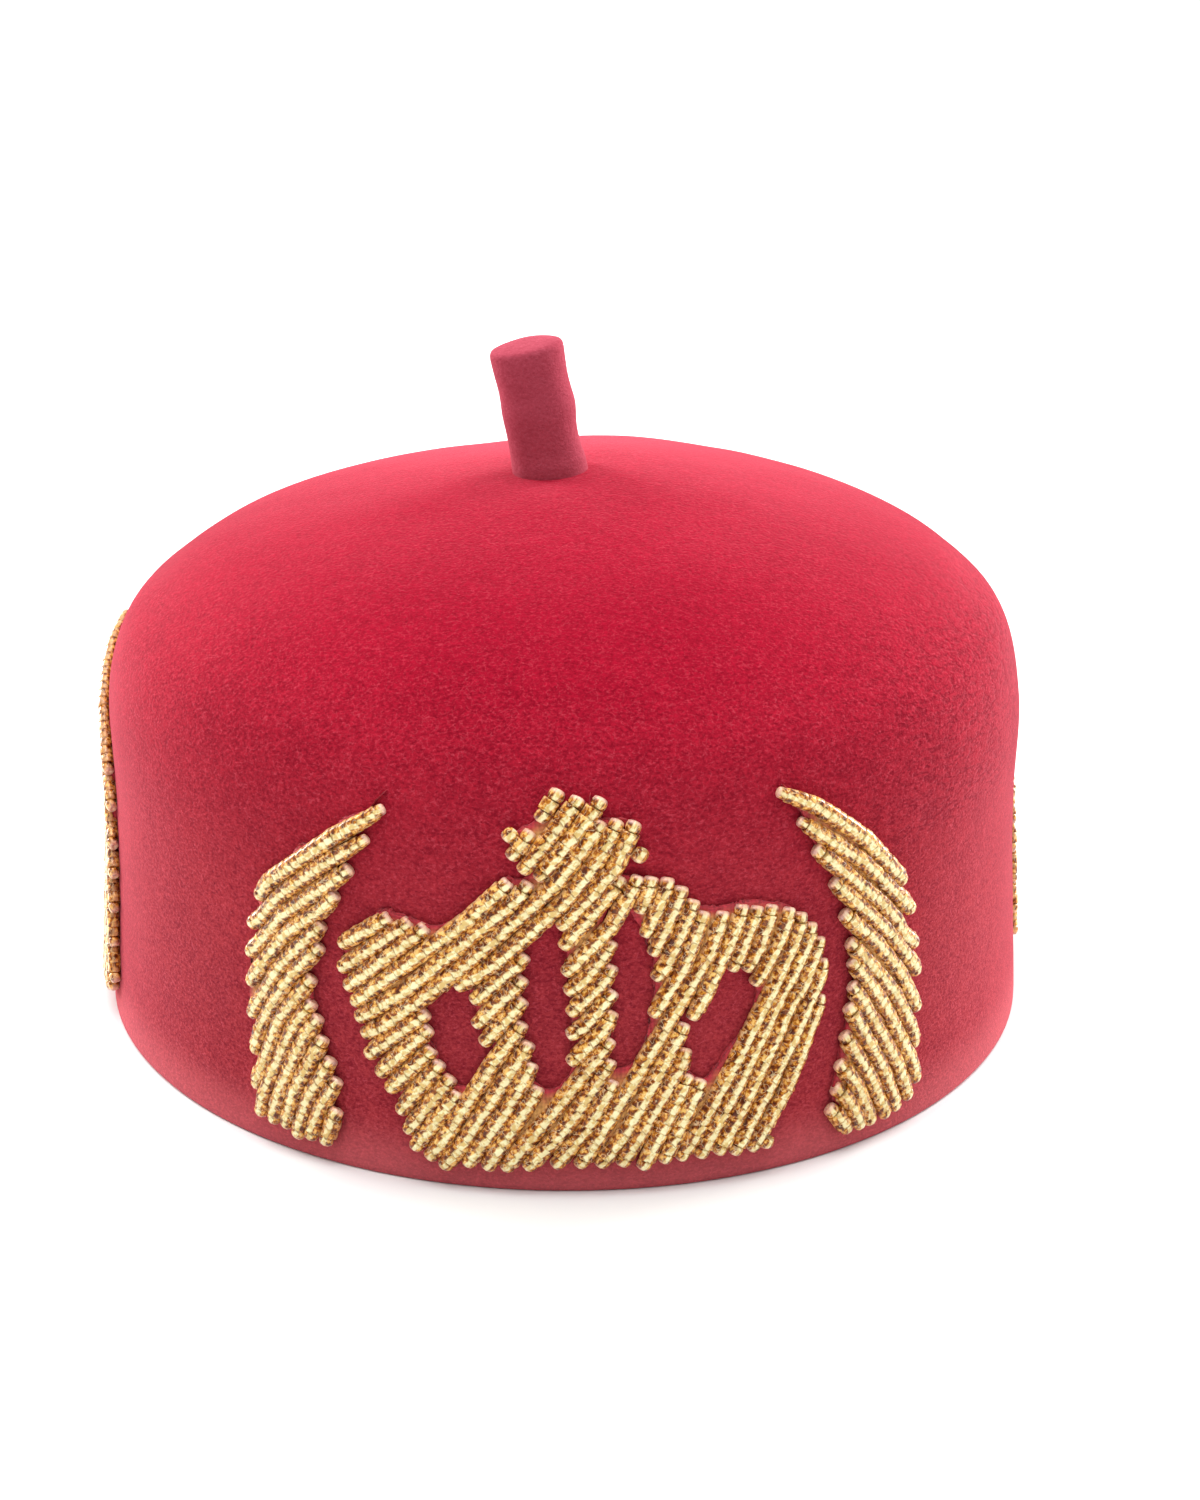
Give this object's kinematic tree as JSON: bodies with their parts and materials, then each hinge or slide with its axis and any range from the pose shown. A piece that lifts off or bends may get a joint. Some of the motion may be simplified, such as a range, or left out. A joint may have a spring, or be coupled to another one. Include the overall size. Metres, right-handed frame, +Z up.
{
  "type": "beaded fez hat",
  "caption": "Tall oval felt cap, hollow for the head, with a leaning felt stem on top and crown and tusk motifs in strings of gold beads round its wall.",
  "frame": {"origin": "middle of the hat's footprint on the surface that it stands on", "axes": "+Z up through the top of the cap, -Y towards the front crown motif, +X to the right as the front is looked at"},
  "size_m": [0.194, 0.2066, 0.1331],
  "materials": {
    "cap_felt": "soft red felt with a short velvety nap and a pink sheen at grazing angles",
    "stem_felt": "darker red felt with the same nap",
    "pad_cloth": "thin plain red padding cloth under the beads",
    "gold_beads": "clear amber glass seed beads with a silvery gold lining, very shiny"
  },
  "bodies": {
    "root": {"cap_body": "cap_felt", "stem": "stem_felt", "front_crown_pad": "pad_cloth", "front_crown_beads": "gold_beads", "front_tusk_left_pad": "pad_cloth", "front_tusk_left_beads": "gold_beads", "front_tusk_right_pad": "pad_cloth", "front_tusk_right_beads": "gold_beads", "left_crown_pad": "pad_cloth", "left_crown_beads": "gold_beads", "left_tusk_left_pad": "pad_cloth", "left_tusk_left_beads": "gold_beads", "left_tusk_right_pad": "pad_cloth", "left_tusk_right_beads": "gold_beads", "right_crown_pad": "pad_cloth", "right_crown_beads": "gold_beads", "right_tusk_left_pad": "pad_cloth", "right_tusk_left_beads": "gold_beads", "right_tusk_right_pad": "pad_cloth", "right_tusk_right_beads": "gold_beads"}
  },
  "joints": []
}
